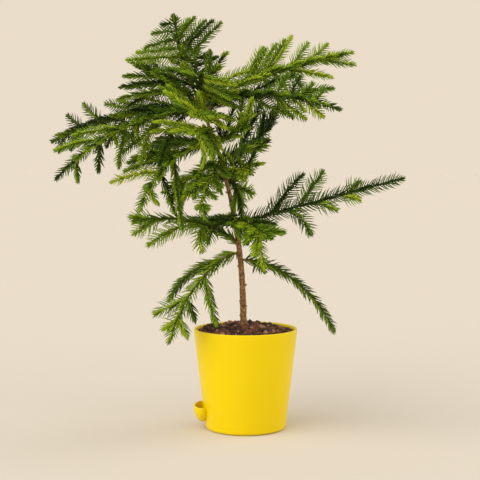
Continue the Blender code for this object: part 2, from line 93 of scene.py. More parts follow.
BOUGHS = {
    # lowest whorl
    "low_left": Bough(0.186, 216, 0, -72, 0.133, "middle", (
        Row(1, 0.20, 0.20, 0.071, 0.071, 36, 20, 55),
        Row(2, 0.62, 0.80, 0.039, 0.018, 34, 50, 0),
        Row(1, 0.37, 0.37, 0.057, 0.057, 52, 250, -22),
        Row(2, 0.60, 0.78, 0.028, 0.026, 44, 230, -10))),
    "low_right": Bough(0.178, -6, 10, -76, 0.133, "middle", (
        Row(1, 0.12, 0.12, 0.020, 0.020, 52, 220, 10),)),
    # second whorl
    "second_left": Bough(0.193, 198, 54, -66, 0.124, "bright", (
        Row(2, 0.26, 0.36, 0.025, 0.036, 60, 215, 60),
        Row(2, 0.40, 0.76, 0.066, 0.034, 24, 240, 30),
        Row(1, 0.80, 0.80, 0.027, 0.027, 20, 50, 10))),
    "second_right": Bough(0.216, 8, 16, -2, 0.190, "middle", (
        Row(1, 0.20, 0.20, 0.057, 0.057, 40, 110, 5),
        Row(1, 0.37, 0.37, 0.052, 0.052, 40, 120, 5),
        Row(1, 0.66, 0.66, 0.021, 0.021, 26, 110, 0),
        Row(1, 0.30, 0.30, 0.042, 0.042, 34, 300, 70),
        Row(2, 0.47, 0.61, 0.027, 0.022, 30, 300, 15))),
    "second_front_right": Bough(0.222, -62, -6, -10, 0.085, "middle", (
        Row(2, 0.34, 0.70, 0.040, 0.030, 30, 150, 10),
        Row(2, 0.39, 0.66, 0.041, 0.045, 36, 320, -10))),
    "second_front": Bough(0.2255, 262, 2, -22, 0.030, "shaded", (
        Row(2, 0.45, 0.85, 0.026, 0.021, 58, 0, 5),
        Row(2, 0.45, 0.85, 0.033, 0.021, 58, 210, 30))),
    "second_back": Bough(0.214, 114, 12, -22, 0.100, "shaded", (
        Row(3, 0.30, 0.80, 0.046, 0.024, 50, 8, 10),
        Row(3, 0.30, 0.80, 0.040, 0.024, 50, 172, 10))),
    # third whorl
    "third_right": Bough(0.268, -30, 28, -22, 0.046, "bright", (
        Row(2, 0.22, 0.59, 0.035, 0.019, 52, 110, 5),
        Row(2, 0.30, 0.60, 0.030, 0.022, 50, 320, 10))),
    "third_low_right": Bough(0.262, -60, 28, -126, 0.061, "middle", (
        Row(1, 0.41, 0.41, 0.036, 0.036, 44, 90, 15),
        Row(1, 0.49, 0.49, 0.023, 0.023, 56, 270, 0))),
    "third_front": Bough(0.284, 250, -36, -4, 0.084, "middle", (
        Row(2, 0.40, 0.45, 0.040, 0.044, 36, 20, 10),
        Row(2, 0.32, 0.87, 0.027, 0.021, 36, 230, -20))),
    "third_left": Bough(0.276, 214, 18, -76, 0.082, "bright", (
        Row(1, 0.50, 0.50, 0.035, 0.035, 22, 40, 25),
        Row(2, 0.36, 0.70, 0.034, 0.023, 44, 240, 10))),
    "third_back": Bough(0.262, 100, 10, -18, 0.108, "shaded", (
        Row(3, 0.30, 0.80, 0.044, 0.024, 50, 8, 10),
        Row(3, 0.30, 0.80, 0.050, 0.026, 50, 172, 10))),
    # fourth whorl
    "fourth_left": Bough(0.296, 206, 24, -98, 0.122, "bright", (
        Row(3, 0.32, 0.43, 0.055, 0.053, 40, 50, 25),
        Row(3, 0.43, 0.77, 0.088, 0.024, 56, 230, -5))),
    "fourth_right": Bough(0.287, 56, -2, 34, 0.109, "shaded", (
        Row(2, 0.37, 0.70, 0.069, 0.036, 38, 90, 5),
        Row(2, 0.35, 0.54, 0.041, 0.030, 20, 330, -10))),
    "fourth_front_right": Bough(0.305, -48, -18, 68, 0.065, "bright", (
        Row(2, 0.26, 0.65, 0.036, 0.035, 60, 100, 0),
        Row(2, 0.45, 0.60, 0.040, 0.052, 20, 320, -30))),
    "fourth_front": Bough(0.312, 258, 14, -28, 0.087, "bright", (
        Row(2, 0.34, 0.79, 0.058, 0.027, 74, 4, 10),
        Row(3, 0.28, 0.80, 0.034, 0.041, 56, 210, 30))),
    "fourth_back": Bough(0.300, 122, 12, -22, 0.124, "shaded", (
        Row(3, 0.25, 0.78, 0.050, 0.026, 50, 8, 10),
        Row(3, 0.25, 0.78, 0.050, 0.026, 50, 172, 10))),
    # fifth whorl
    "fifth_left": Bough(0.330, 200, 18, -66, 0.181, "middle", (
        Row(5, 0.11, 0.83, 0.072, 0.026, 50, 240, 25),
        Row(2, 0.51, 0.62, 0.056, 0.055, 34, 50, 20))),
    "fifth_left_back": Bough(0.335, 160, 10, -32, 0.187, "shaded", (
        Row(1, 0.38, 0.38, 0.047, 0.047, 30, 90, 12),
        Row(2, 0.64, 0.77, 0.032, 0.026, 56, 90, 0),
        Row(2, 0.47, 0.76, 0.044, 0.029, 40, 270, 5))),
    "fifth_right": Bough(0.342, 12, 30, -18, 0.180, "bright", (
        Row(3, 0.29, 0.45, 0.049, 0.055, 40, 110, 5),
        Row(1, 0.60, 0.60, 0.038, 0.038, 40, 110, 5),
        Row(1, 0.70, 0.70, 0.036, 0.036, 30, 110, 10),
        Row(2, 0.55, 0.77, 0.054, 0.043, 26, 310, 10)), 0.030),
    "fifth_right_low": Bough(0.334, -26, 34, -56, 0.161, "middle", (
        Row(2, 0.31, 0.63, 0.056, 0.048, 36, 130, 20),
        Row(3, 0.32, 0.74, 0.054, 0.030, 36, 260, -10)), 0.020),
    "fifth_front": Bough(0.3255, 262, 18, -30, 0.090, "bright", (
        Row(3, 0.26, 0.80, 0.059, 0.027, 60, 30, -10),
        Row(3, 0.34, 0.80, 0.054, 0.027, 52, 180, 15))),
    "fifth_back": Bough(0.328, 88, 22, -14, 0.124, "shaded", (
        Row(3, 0.25, 0.78, 0.050, 0.026, 50, 40, 10),
        Row(3, 0.25, 0.78, 0.050, 0.026, 50, 172, 10))),
    # top
    "top_left": Bough(0.341, 168, 46, -24, 0.088, "middle", (
        Row(3, 0.18, 0.58, 0.079, 0.043, 34, 220, 35),
        Row(2, 0.41, 0.61, 0.041, 0.036, 14, 80, 10))),
    "top_right": Bough(0.351, 20, 40, 24, 0.057, "middle", (
        Row(1, 0.35, 0.35, 0.041, 0.041, 36, 130, 10),
        Row(1, 0.22, 0.22, 0.062, 0.062, 28, 280, 0))),
    "top_front": Bough(0.3465, 276, 28, -4, 0.056, "middle", (
        Row(2, 0.39, 0.75, 0.054, 0.025, 56, 6, 10),
        Row(3, 0.20, 0.80, 0.051, 0.041, 76, 200, 10))),
    "leader_back": Bough(0.361, 80, 48, 10, 0.057, "shaded", (
        Row(2, 0.26, 0.63, 0.036, 0.022, 48, 340, 5),
        Row(2, 0.30, 0.75, 0.039, 0.025, 48, 180, 5))),
    "leader": Bough(0.364, 180, 68, 12, 0.073, "middle", (
        Row(2, 0.38, 0.505, 0.060, 0.049, 76, 270, 8),
        Row(3, 0.63, 0.88, 0.038, 0.016, 84, 270, 14),
        Row(3, 0.28, 0.74, 0.062, 0.023, 54, 90, 15)), 0.004),
}

# boughs without short twigs on their flat sides, and how much longer their needles are
FEATHERS = ("low_left", "low_right", "second_left", "second_right", "third_low_right", "fourth_right")
FEATHER_LONG = 1.15
# above this height needles lose this share of their length with each metre
SHORTER_FROM = 0.220
SHORTER = 1.3

# rows of finer twigs that only this bough has
FINER = {
    "second_front_right": (Row(1, 0.52, 0.52, 0.048, 0.048, 66, 250, 10),),
    "third_right": (Row(3, 0.12, 0.46, 0.027, 0.017, 84, 60, -5),),
    "third_left": (Row(2, 0.14, 0.27, 0.029, 0.017, 68, 120, 20),),
    "fourth_left": (
        Row(1, 0.44, 0.44, 0.062, 0.062, 60, 70, -10),
        Row(1, 0.58, 0.58, 0.056, 0.056, 46, 60, 25)),
    "fourth_right": (Row(2, 0.78, 0.91, 0.052, 0.030, 32, 70, 5),),
    "fourth_front_right": (Row(1, 0.22, 0.22, 0.030, 0.030, 66, 50, 0),),
    "fifth_left": (Row(3, 0.30, 0.55, 0.022, 0.017, 68, 250, 5),),
    "fifth_left_back": (
        Row(2, 0.19, 0.32, 0.074, 0.057, 40, 270, -5),
        Row(2, 0.12, 0.26, 0.064, 0.052, 16, 90, 5),
        Row(2, 0.80, 0.88, 0.023, 0.021, 44, 270, 5)),
    "fifth_right": (
        Row(3, 0.40, 0.57, 0.056, 0.056, 76, 280, -10),
        Row(2, 0.33, 0.41, 0.048, 0.051, 42, 110, 5)),
    "fifth_right_low": (Row(4, 0.53, 0.79, 0.029, 0.020, 72, 110, -5),),
    "fifth_front": (Row(3, 0.11, 0.38, 0.033, 0.029, 48, 90, -10),),
    "leader": (
        Row(2, 0.40, 0.64, 0.052, 0.032, 50, 90, 20),
        Row(1, 0.16, 0.16, 0.036, 0.036, 66, 270, 10)),
}

# short twigs on a bough's flat sides: their tilts, spacing, longest reach and the share of the
# bough's length that it may be, reach at the tip and the share of the first reach that it may be
FLAT_TILTS = (8, 172)
FLAT_SPACING = 0.019
FLAT_REACH, FLAT_SHARE = 0.042, 0.36
FLAT_TIP_REACH, FLAT_TIP_SHARE = 0.018, 0.6
CROWDED = 45                 # a flat side has no short twigs if longer ones are this close, in degrees
NEARLY_FLAT = 40             # rows that are at most this far off the flat are doubled


def apart(tilt, other):
    """Degrees between two sides of a bough."""
    return abs((tilt - other + 180) % 360 - 180)


def between(row):
    """The row of finer twigs that grows between the twigs of a row."""
    step = (row.last - row.first) / (row.count - 1)
    return row._replace(count=row.count - 1, first=row.first + step / 2, last=row.last - step / 2,
                        reach=row.reach * 0.84, tip_reach=row.tip_reach * 1.05,
                        tilt=row.tilt + 14, droop=row.droop + 6)


def flat_rows(name, bough):
    """Rows of short twigs on the flat sides of a bough that has no longer ones there."""
    if name in FEATHERS:
        return []
    reach = min(FLAT_REACH, FLAT_SHARE * bough.length)
    tip_reach = min(FLAT_TIP_REACH, FLAT_TIP_SHARE * reach)
    count = max(2, round(bough.length / FLAT_SPACING))
    first = bough.bare / bough.length + 0.05
    return [Row(count, first, 0.86, reach, tip_reach, 50, tilt, 12) for tilt in FLAT_TILTS
            if all(apart(tilt, row.tilt) > CROWDED for row in bough.rows)]


def finer_rows(name, bough):
    """The rows that the solid model leaves out."""
    doubled = [between(row) for row in bough.rows
               if row.count > 1 and min(apart(row.tilt, side) for side in (0, 180)) <= NEARLY_FLAT]
    return doubled + flat_rows(name, bough) + list(FINER.get(name, ()))


def trunk_point(height):
    share = (height - SOIL_TOP) / (TRUNK_TOP - SOIL_TOP)
    x = TRUNK_FOOT_X - TRUNK_LEAN * share ** TRUNK_CURVE
    y = TRUNK_SWAY * (1 - math.cos(2 * math.pi * SWAY_WAVES * share))
    return Vector((x, y, height))


def heading(turn, rise):
    turn, rise = math.radians(turn), math.radians(rise)
    return Vector((math.cos(turn) * math.cos(rise), math.sin(turn) * math.cos(rise), math.sin(rise)))


def grow(start, turn, rise, bend, length, ease):
    """The points of a line whose slope changes by bend degrees along its length."""
    count = max(3, round(length / STEP))
    points = [start.copy()]
    for k in range(count):
        share = (k + 0.5) / count
        points.append(points[-1] + heading(turn, rise + bend * share ** ease) * (length / count))
    return points


def place_on(line, share):
    """The point at that share of the line and the line's direction there."""
    where = share * (len(line) - 1)
    k = min(int(where), len(line) - 2)
    return line[k].lerp(line[k + 1], where - k), (line[k + 1] - line[k]).normalized()


def part_of(line, start, end):
    """The stretch of the line between two shares of it."""
    count = max(2, round((end - start) * (len(line) - 1)))
    return [place_on(line, start + (end - start) * k / count)[0] for k in range(count + 1)]


def line_length(line):
    return sum((b - a).length for a, b in zip(line, line[1:]))


def bough_line(bough):
    foot = trunk_point(bough.height)
    return grow(foot, bough.turn, bough.rise, bough.bend, bough.length, EASE)


def twig_lines(line, rows, uneven):
    """Each twig of those rows along the bough's line, a little uneven: its side and its line."""
    lines = []
    for row in rows:
        for k in range(row.count):
            part = k / (row.count - 1) if row.count > 1 else 0
            share = row.first + (row.last - row.first) * part
            share += uneven.uniform(-SHARE_UNEVEN, SHARE_UNEVEN)
            foot, along = place_on(line, share)
            right = along.cross(Vector((0, 0, 1))).normalized()
            tilt = row.tilt + uneven.uniform(-TILT_UNEVEN, TILT_UNEVEN)
            side = Quaternion(along, -math.radians(tilt)) @ right
            spread = math.radians(row.spread + uneven.uniform(-SPREAD_UNEVEN, SPREAD_UNEVEN))
            out = along * math.cos(spread) + side * math.sin(spread)
            reach = row.reach + (row.tip_reach - row.reach) * part
            reach *= uneven.uniform(1 - REACH_UNEVEN, 1 + REACH_UNEVEN)
            turn = math.degrees(math.atan2(out.y, out.x))
            rise = math.degrees(math.asin(out.z))
            bend = -row.droop * (reach / row.reach) ** 2
            lines.append((row.tilt, grow(foot, turn, rise, bend, reach, 1)))
    return lines


# ---------------- settings


def length_setting(name, default, description):
    return FloatProperty(name=name, default=default, description=description, unit="LENGTH", precision=4)


def angle_setting(name, degrees, description):
    return FloatProperty(name=name, default=math.radians(degrees), description=description,
                         subtype="ANGLE")


def colour_setting(name, default, description):
    return FloatVectorProperty(name=name, default=default, description=description,
                               subtype="COLOR", size=3, min=0, max=1)


class PotSettings(bpy.types.PropertyGroup):
    height: length_setting("Height", 0.106, "Height of the pot's rim")
    top_radius: length_setting("Rim radius", 0.055, "Outer radius at the rim")
    base_radius: length_setting("Base radius", 0.0425, "Outer radius at the ground")
    wall: length_setting("Wall", 0.0028, "Thickness of the wall")
    foot_round: length_setting("Foot rounding", 0.003, "Radius of the edge under the wall")
    inside_depth: length_setting("Inside", 0.06, "How far down the inside is finished")
    spout_height: length_setting("Spout rim height", 0.0243, "Height of the spout's rim")
    spout_depth: length_setting("Spout depth", 0.018, "How far the spout's bowl goes down")
    spout_out: length_setting("Spout reach", 0.010, "How far the spout stands out")
    spout_half_width: length_setting("Spout half width", 0.021, "Half the width of the spout")
    spout_wall: length_setting("Spout wall", 0.002, "Thickness of the spout's wall")
    spout_turn: angle_setting("Spout turn", 180, "Where the spout sits, from +X towards +Y")
    colour: colour_setting("Plastic", (0.80, 0.62, 0.0), "Colour of the plastic")


class SoilSettings(bpy.types.PropertyGroup):
    crumbs: IntProperty(name="Crumbs", default=1500, description="Number of loose chunks")
    crumb_size: length_setting("Crumb size", 0.0030, "Width of a usual chunk")
    dark: colour_setting("Dark", (0.035, 0.017, 0.010), "Damp chunks")
    red: colour_setting("Red", (0.150, 0.050, 0.024), "Red-brown chunks")
    light: colour_setting("Light", (0.30, 0.16, 0.09), "Dry chunks")


class BarkSettings(bpy.types.PropertyGroup):
    foot_radius: length_setting("Foot radius", 0.0035, "Radius of the trunk above its flare")
    tip_radius: length_setting("Tip radius", 0.0013, "Radius of the trunk's tip")
    flare: length_setting("Flare", 0.0012, "How much the root flare adds")
    flare_height: length_setting("Flare height", 0.003, "How fast the flare fades")
    bough_radius: length_setting("Bough radius", 0.0013, "Radius of a bough at the trunk")
    relief: length_setting("Relief", 0.00036, "Height of the bark's relief")
    brown: colour_setting("Bark", (0.270, 0.125, 0.036), "Colour of the bark")
    olive: colour_setting("Young bark", (0.26, 0.19, 0.02), "Colour of bark near the top")


class NeedleSettings(bpy.types.PropertyGroup):
    spacing: length_setting("Spacing", 0.00068, "Distance along a twig from one needle to the next")
    length: length_setting("Length", 0.0136, "Length of a needle near the foot of a spray")
    tip_length: length_setting("Tip length", 0.0094, "Length of a needle at a twig's tip")
    width: length_setting("Width", 0.00185, "Width of a needle at its foot")
    lean: angle_setting("Lean", 58, "Angle between a twig and the foot of a needle at its side")
    between_lean: angle_setting("Lean between", 40, "The same for a needle above or below the twig")
    flat_strewn: angle_setting("Uneven", 16, "How far a needle at the side strays from the spray's plane")
    between_strewn: angle_setting("Uneven between", 42, "The same for a needle above or below the twig")
    stem_radius: length_setting("Stem radius", 0.0011, "Radius of a bough inside the foliage")
    stem_tip_radius: length_setting("Stem tip radius", 0.0007, "Radius of its tip")
    twig_radius: length_setting("Twig radius", 0.0009, "Radius of a twig at its foot")
    twig_tip_radius: length_setting("Twig tip radius", 0.0006, "Radius of a twig's tip")
    # the darker greens are also painted shade and the lighter ones painted light, on shaded and bright
    # boughs and below and above the twigs; besides, they stand for old and young needles
    deep: colour_setting("Deep green", (0.018, 0.042, 0.003), "Needles in the shade")
    dark: colour_setting("Dark green", (0.062, 0.122, 0.006), "Old needles")
    middle: colour_setting("Middle green", (0.140, 0.240, 0.010), "Most needles")
    fresh: colour_setting("Fresh green", (0.245, 0.370, 0.014), "Young needles")
    lime: colour_setting("Lime green", (0.360, 0.460, 0.018), "The youngest needles")
    twig: colour_setting("Twig", (0.130, 0.150, 0.022), "Green bark of the twigs")


class StageSettings(bpy.types.PropertyGroup):
    camera_place: FloatVectorProperty(name="Camera", default=(-0.0059, -1.191, 0.274), subtype="XYZ",
                                      unit="LENGTH", size=3, description="Where the camera stands")
    camera_pitch: angle_setting("Pitch", -3.59, "How far the camera looks up")
    lens: FloatProperty(name="Lens", default=85, description="Focal length in millimetres")
    floor_size: length_setting("Floor", 90, "Side of the floor")
    floor_colour: colour_setting("Floor", (0.66, 0.62, 0.565), "Colour of the floor")


# ---------------- shaders


class Field:
    """A socket in a material; arithmetic on it adds Math nodes."""

    def __init__(self, tree, socket=None):
        self.tree = tree
        self.socket = socket

    def node(self, kind, settings=None, inputs=None, output=0):
        """Adds a node, makes its settings, then gives its sockets their values or links."""
        made = self.tree.nodes.new(kind)
        for name, value in (settings or {}).items():
            setattr(made, name, value)
        for name, value in (inputs or {}).items():
            if isinstance(value, Field):
                self.tree.links.new(value.socket, made.inputs[name])
            else:
                made.inputs[name].default_value = value
        return Field(self.tree, made.outputs[output])

    def math(self, operation, *values):
        return self.node("ShaderNodeMath", {"operation": operation}, dict(enumerate(values)))

    def __add__(self, other):
        return self.math("ADD", self, other)

    __radd__ = __add__

    def __sub__(self, other):
        return self.math("SUBTRACT", self, other)

    def __rsub__(self, other):
        return self.math("SUBTRACT", other, self)

    def __mul__(self, other):
        return self.math("MULTIPLY", self, other)

    __rmul__ = __mul__


def new_material(name, **sockets):
    """A Principled material with those sockets set, and a Field to build on it."""
    material = bpy.data.materials.new(name)
    material.use_nodes = True
    shader = material.node_tree.nodes["Principled BSDF"]
    for socket, value in sockets.items():
        shader.inputs[socket.replace("_", " ")].default_value = value
    return material, Field(material.node_tree)


def wire(material, **sockets):
    """Links Fields to the sockets of the material's shader."""
    shader = material.node_tree.nodes["Principled BSDF"]
    for socket, field in sockets.items():
        material.node_tree.links.new(field.socket, shader.inputs[socket.replace("_", " ")])


def mix_colours(field, share, first, second):
    """A colour between two, each a Field or three numbers."""
    mixed = field.tree.nodes.new("ShaderNodeMix")
    mixed.data_type = "RGBA"
    colours = {socket.name: socket for socket in mixed.inputs if socket.type == "RGBA"}
    for socket, value in ((mixed.inputs["Factor"], share), (colours["A"], first), (colours["B"], second)):
        if isinstance(value, Field):
            field.tree.links.new(value.socket, socket)
        else:
            socket.default_value = (*value, 1) if isinstance(value, tuple) else value
    return Field(field.tree, next(s for s in mixed.outputs if s.type == "RGBA"))


def noise_field(field, place, scale, detail=3, roughness=0.5):
    return field.node("ShaderNodeTexNoise", None,
                      {"Vector": place, "Scale": scale, "Detail": detail, "Roughness": roughness})


def ramp(field, share, *stops):
    """A ramp between two greys; each stop is its place and its grey."""
    made = field.node("ShaderNodeValToRGB", None, {"Fac": share})
    for element, (place, grey) in zip(made.socket.node.color_ramp.elements, stops):
        element.position = place
        element.color = (grey, grey, grey, 1)
    return made


def bump_field(field, height, distance, strength):
    return field.node("ShaderNodeBump", None,
                      {"Height": height, "Distance": distance, "Strength": strength})


def object_place(field):
    return field.node("ShaderNodeTexCoord", output="Object")


def plastic_material(colour):
    """Smooth yellow plastic with a faint uneven gloss and fine scuffs."""
    material, field = new_material("yellow_plastic", IOR=1.45, Specular_IOR_Level=0.22)
    place = object_place(field)
    cloudy = noise_field(field, place, 18, 4)
    fine = noise_field(field, place, 900, 2)
    deeper = tuple(c * s for c, s in zip(colour, (0.93, 0.88, 0.8)))
    wire(material,
         Base_Color=mix_colours(field, cloudy * 0.6 + 0.1, colour, deeper),
         Roughness=cloudy * 0.10 + 0.27,
         Normal=bump_field(field, fine + cloudy * 4, 0.00003, 0.35))
    return material


def soil_bed_material(dark, red):
    material, field = new_material("soil_bed", IOR=1.4)
    place = object_place(field)
    coarse = noise_field(field, place, 260, 5, 0.7)
    # partly painted shade: the dark earth is set where the bump sinks; the mix of dark and red earth is
    # the soil's own
    share = ramp(field, coarse, (0.42, 0.0), (0.62, 1.0))
    wire(material,
         Base_Color=mix_colours(field, share, dark, red),
         Roughness=coarse * 0.2 + 0.8,
         Normal=bump_field(field, coarse, 0.0012, 0.8))
    return material


def crumb_material(name, colour):
    """One plain earth colour, grainy."""
    material, field = new_material(name, Base_Color=(*colour, 1), IOR=1.4)
    grain = noise_field(field, object_place(field), 1400, 4, 0.6)
    wire(material, Roughness=grain * 0.3 + 0.65, Normal=bump_field(field, grain, 0.0003, 0.7))
    return material


# near-black brown: painted shade in the bark's cracks, and the colour of its damp patches
CRACK_BROWN = (0.012, 0.006, 0.003)
WORN_TAN = (0.58, 0.38, 0.16)


def bark_material(name, low, high, start, end):
    """Streaked bark that turns from one colour to another between two heights, with painted shade in its
    cracks.
    """
    material, field = new_material(name, IOR=1.45)
    place = object_place(field)
    stretched = field.node("ShaderNodeMapping", None, {"Vector": place, "Scale": (1, 1, 0.16)})
    streaks = noise_field(field, stretched, 1500, 5, 0.65)
    blotches = noise_field(field, place, 420, 4, 0.6)
    height = field.node("ShaderNodeSeparateXYZ", None, {"Vector": place}, "Z")
    climb = field.node("ShaderNodeMapRange", None, {
        "Value": height + blotches * 0.03, "From Min": start, "From Max": end})
    aged = mix_colours(field, climb, low, high)
    dark = mix_colours(field, 0.80, aged, CRACK_BROWN)
    pale = mix_colours(field, 0.45, aged, WORN_TAN)
    # painted shade: the bark is darkened where its bump sinks into the cracks
    crack_shade = ramp(field, streaks, (0.36, 1.0), (0.52, 0.0))
    damp = ramp(field, blotches, (0.38, 0.85), (0.50, 0.0))
    tint_wear_and_painted_light = ramp(field, blotches, (0.53, 0.0), (0.66, 1.0))
    colour = mix_colours(field, tint_wear_and_painted_light, mix_colours(field, crack_shade, aged, dark), pale)
    colour = mix_colours(field, damp, colour, dark)
    wire(material, Base_Color=colour, Roughness=streaks * 0.25 + 0.62,
         Normal=bump_field(field, streaks, 0.0004, 0.7))
    return material


def needle_material(name, colour):
    """One plain green with a waxy, slightly uneven gloss."""
    material, field = new_material(name, Base_Color=(*colour, 1), IOR=1.45,
                                   Specular_IOR_Level=0.14)
    wax = noise_field(field, object_place(field), 700, 2)
    wire(material, Roughness=wax * 0.25 + 0.34)
    return material


# ---------------- modelling helpers


def deselect():
    if bpy.context.mode != "OBJECT":
        bpy.ops.object.mode_set(mode="OBJECT")
    bpy.ops.object.select_all(action="DESELECT")


def only(obj):
    """Makes the object the only one selected, and active."""
    deselect()
    obj.select_set(True)
    bpy.context.view_layer.objects.active = obj


def named(name):
    """The object that an operator has just added, named."""
    obj = bpy.context.view_layer.objects.active
    obj.name = name
    obj.data.name = name
    return obj


def settle(obj):
    """Puts the object's place, turn and scale into its mesh."""
    only(obj)
    bpy.ops.object.transform_apply(location=True, rotation=True, scale=True)


def add(name, operator, **settings):
    """The object that the operator adds, named, with its place, turn and scale in its mesh."""
    deselect()
    operator(**settings)
    made = named(name)
    settle(made)
    return made


def finish_modifier(obj, kind, name, **settings):
    """Adds a modifier and applies it."""
    only(obj)
    modifier = obj.modifiers.new(name, kind)
    for key, value in settings.items():
        setattr(modifier, key, value)
    bpy.ops.object.modifier_apply(modifier=modifier.name)


def edit(obj, mode, chosen):
    """Edit mode with the vertices, edges or faces selected that chosen picks."""
    only(obj)
    bpy.ops.object.mode_set(mode="EDIT")
    bpy.ops.mesh.select_mode(type=mode)
    bpy.ops.mesh.select_all(action="DESELECT")
    bm = bmesh.from_edit_mesh(obj.data)
    elements = {"VERT": bm.verts, "EDGE": bm.edges, "FACE": bm.faces}[mode]
    for element in elements:
        if chosen(element):
            element.select_set(True)
    bm.select_flush_mode()
    bmesh.update_edit_mesh(obj.data)


def leave_edit():
    bpy.ops.object.mode_set(mode="OBJECT")


def round_edges(obj, chosen, offset, segments):
    """Bevels the edges that chosen picks."""
    edit(obj, "EDGE", chosen)
    bpy.ops.mesh.bevel(offset=offset, segments=segments, profile=0.5)
    leave_edit()


def shade_by_angle(obj, degrees):
    only(obj)
    bpy.ops.object.shade_smooth_by_angle(angle=math.radians(degrees))


def dress(obj, material):
    obj.data.materials.clear()
    obj.data.materials.append(material)


def hand_over(obj, slot, *nodes):
    """Says what the finished piece rides on and hides the CAD nodes that it stands for; slot is not used.
    """
    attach(obj, BODY)
    if nodes:
        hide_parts(*nodes)


def ring_edge(height, radius, near=0.0002):
    """Picks the edges of the ring at that height and radius."""
    def chosen(edge):
        return all(abs(v.co.z - height) < near and abs(math.hypot(v.co.x, v.co.y) - radius) < near
                   for v in edge.verts)
    return chosen


def tubes(name, lines, bevel_steps):
    """Closed round tubes joined in one mesh; each line is its points and its radii."""
    curve = bpy.data.curves.new(name, "CURVE")
    curve.dimensions = "3D"
    curve.bevel_depth = 1
    curve.bevel_resolution = bevel_steps
    curve.use_fill_caps = True
    for points, radii in lines:
        spline = curve.splines.new("POLY")
        spline.points.add(len(points) - 1)
        for place, point, radius in zip(spline.points, points, radii):
            place.co = (*point, 1)
            place.radius = radius
    guide = bpy.data.objects.new(name, curve)
    bpy.context.scene.collection.objects.link(guide)
    only(guide)
    bpy.ops.object.convert(target="MESH")
    made = named(name)
    edit(made, "VERT", lambda vertex: True)
    bpy.ops.mesh.remove_doubles(threshold=0.00001)
    bpy.ops.mesh.normals_make_consistent(inside=False)
    leave_edit()
    return made


def shape_arrays(obj):
    """The vertices of a small shape as an array and its faces as lists."""
    mesh = obj.data
    points = np.empty(len(mesh.vertices) * 3)
    mesh.vertices.foreach_get("co", points)
    faces = [list(face.vertices) for face in mesh.polygons]
    return points.reshape(-1, 3), faces


def joined_copies(name, shape, copies, materials, material_of):
    """One mesh of many copies of a shape: copies is an array of the copies' points, (count, points, 3)."""
    points, faces = shape
    count = len(copies)
    sizes = np.array([len(face) for face in faces])
    corners = np.concatenate([np.array(face) for face in faces])
    shift = (np.arange(count) * len(points))[:, None]
    mesh = bpy.data.meshes.new(name)
    mesh.vertices.add(count * len(points))
    mesh.vertices.foreach_set("co", copies.reshape(-1).astype(np.float32))
    mesh.loops.add(count * len(corners))
    mesh.loops.foreach_set("vertex_index", (corners[None, :] + shift).reshape(-1).astype(np.int32))
    mesh.polygons.add(count * len(faces))
    starts = np.concatenate([[0], np.cumsum(sizes)[:-1]])
    starts = (starts[None, :] + (np.arange(count) * len(corners))[:, None]).reshape(-1)
    mesh.polygons.foreach_set("loop_start", starts.astype(np.int32))
    mesh.polygons.foreach_set("material_index", np.repeat(material_of, len(faces)).astype(np.int32))
    mesh.update(calc_edges=True)
    for material in materials:
        mesh.materials.append(material)
    mesh.shade_smooth()
    made = bpy.data.objects.new(name, mesh)
    bpy.context.scene.collection.objects.link(made)
    return made


# ---------------- pot


def pot_radius(pot, height):
    """Outer radius of the pot's wall."""
    return pot.base_radius + (pot.top_radius - pot.base_radius) * height / pot.height


